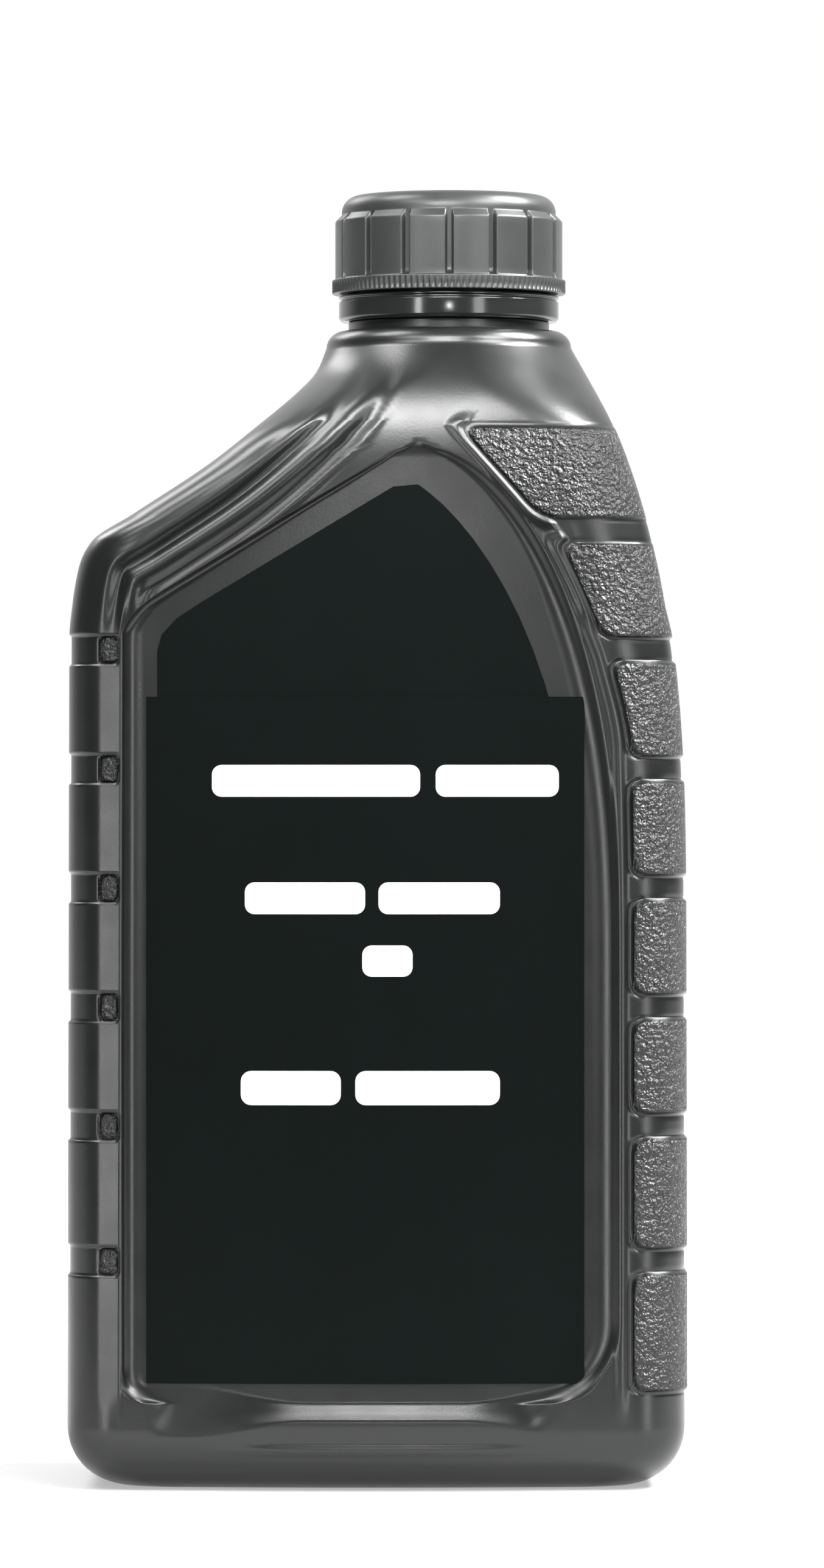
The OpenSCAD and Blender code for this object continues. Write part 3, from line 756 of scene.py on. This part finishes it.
def make_camera():
    data = bpy.data.cameras.new("camera")
    data.lens = CAMERA_LENS
    camera = bpy.data.objects.new("camera", data)
    camera.location = CAMERA_PLACE
    camera.rotation_euler = (math.pi / 2, 0, 0)
    bpy.context.collection.objects.link(camera)
    bpy.context.scene.camera = camera


def make_world():
    """A studio by direction: white behind the bottle and dark round the camera."""
    world = bpy.data.worlds.new("studio")
    bpy.context.scene.world = world
    world.use_nodes = True
    tree = world.node_tree
    direction = tree.nodes.new("ShaderNodeSeparateXYZ")
    tree.links.new(tree.nodes.new("ShaderNodeTexCoord").outputs["Generated"], direction.inputs["Vector"])

    def ramp(axis, start, end, low, high):
        node = tree.nodes.new("ShaderNodeMapRange")
        node.interpolation_type = "SMOOTHSTEP"
        for key, value in (("From Min", start), ("From Max", end), ("To Min", low), ("To Max", high)):
            node.inputs[key].default_value = value
        tree.links.new(direction.outputs[axis], node.inputs["Value"])
        return node.outputs["Result"]

    tree.nodes["Background"].inputs["Color"].default_value = (1, 1, 1, 1)
    tree.links.new(ramp("Y", 0.3, 0.8, 0.1, 1.0), tree.nodes["Background"].inputs["Strength"])


def make_softbox(name, place, target, size, power):
    data = bpy.data.lights.new(name, "AREA")
    data.shape = "RECTANGLE"
    data.size, data.size_y = size
    data.energy = power
    lamp = bpy.data.objects.new(name, data)
    lamp.location = place
    away = [p - t for p, t in zip(place, target)]
    lamp.rotation_euler = (
        math.atan2(math.hypot(away[0], away[1]), away[2]), 0, math.atan2(away[0], -away[1]))
    bpy.context.collection.objects.link(lamp)


def make_floor():
    """A pale floor that glows, dimmer close to the bottle as a painted shadow, and fades into the white studio
    away from the bottle.
    """
    mesh = bpy.data.meshes.new("floor")
    mesh.from_pydata([(-4, FLOOR_NEAR_Y, 0), (4, FLOOR_NEAR_Y, 0), (4, 8, 0), (-4, 8, 0)], [], [(0, 1, 2, 3)])
    floor = bpy.data.objects.new("floor", mesh)
    bpy.context.collection.objects.link(floor)
    material = bpy.data.materials.new("floor_with_painted_shadow")
    material.use_nodes = True
    tree = material.node_tree
    shader = tree.nodes["Principled BSDF"]
    shader.inputs["Base Color"].default_value = (0.45, 0.45, 0.45, 1)
    shader.inputs["Roughness"].default_value = 0.8
    shader.inputs["Specular IOR Level"].default_value = 0.1
    shader.inputs["Emission Color"].default_value = (1, 1, 1, 1)
    away = tree.nodes.new("ShaderNodeVectorMath")
    away.operation = "LENGTH"
    tree.links.new(tree.nodes.new("ShaderNodeTexCoord").outputs["Object"], away.inputs[0])
    # Painted shadow: the floor's glow is weaker near the bottle, standing in for the shadow the bottle casts
    fade = tree.nodes.new("ShaderNodeMapRange")
    for key, value in (("From Min", 0.05), ("From Max", 0.35), ("To Min", 0.4), ("To Max", 1.0)):
        fade.inputs[key].default_value = value
    tree.links.new(away.outputs["Value"], fade.inputs["Value"])
    tree.links.new(fade.outputs["Result"], shader.inputs["Emission Strength"])
    mesh.materials.append(material)


make_camera()
make_world()
make_floor()
make_softbox("strip_left", (-0.66, -1.07, 0.14), (0, 0, 0.12), (0.14, 0.9), 5.5)
make_softbox("front_right", (0.66, -1.07, 0.14), (0, 0, 0.12), (0.25, 0.9), 5)
make_softbox("high_right", (0.5, -0.45, 0.7), (0.012, 0, 0.19), (0.3, 0.3), 9)
make_softbox("side_right", (0.57, 0, 0.76), (0.012, 0, 0.19), (0.16, 0.3), 24)
make_softbox("high_left", (-0.42, -0.5, 0.75), (0.012, 0, 0.19), (0.3, 0.3), 2.5)
make_softbox("top_left", (-0.42, 0, 0.9), (0.012, 0, 0.19), (0.3, 0.3), 4.5)
make_softbox("back_left", (-0.5, 0.6, 0.7), (0.012, 0, 0.19), (0.3, 0.3), 2.2)
make_softbox("near_top", (0.001, -0.13, 0.275), (0.001, -0.03, 0.014), (0.07, 0.04), 0.33)
make_softbox("near_camera", (0.02, -1.5, 0.29), (0, 0, 0.12), (0.12, 0.12), 2)

shell_finish = plastic("satin_black_shell", (0.0065, 0.007, 0.007), 0.3, 2600, 0.02, grained=True)
cap_finish = plastic("ribbed_cap", (0.022, 0.023, 0.023), 0.38, 2600, 0.02)
band_finish = plastic("glossy_band", (0.012, 0.013, 0.013), 0.14, 1500, 0.006)
label_finish = plastic("dark_label", (0.0018, 0.0035, 0.0032), 0.55, 3200, 0.01, specular=0.06)
print_finish = plastic("white_print", (0.8, 0.81, 0.81), 0.5, 3200, 0.005, specular=0.3)
liner_finish = plastic("liner_foam", (0.7, 0.7, 0.68), 0.75, 2200, 0.05)

make_body(shell_finish)
make_inside(shell_finish)
make_neck(shell_finish)
make_cap(cap_finish)
make_band(band_finish)
make_word_bars(print_finish)
dress_node("front_label", label_finish)
dress_node("front_sticker", label_finish)
dress_node("cap_liner", liner_finish)

bpy.context.scene.view_settings.view_transform = "Standard"
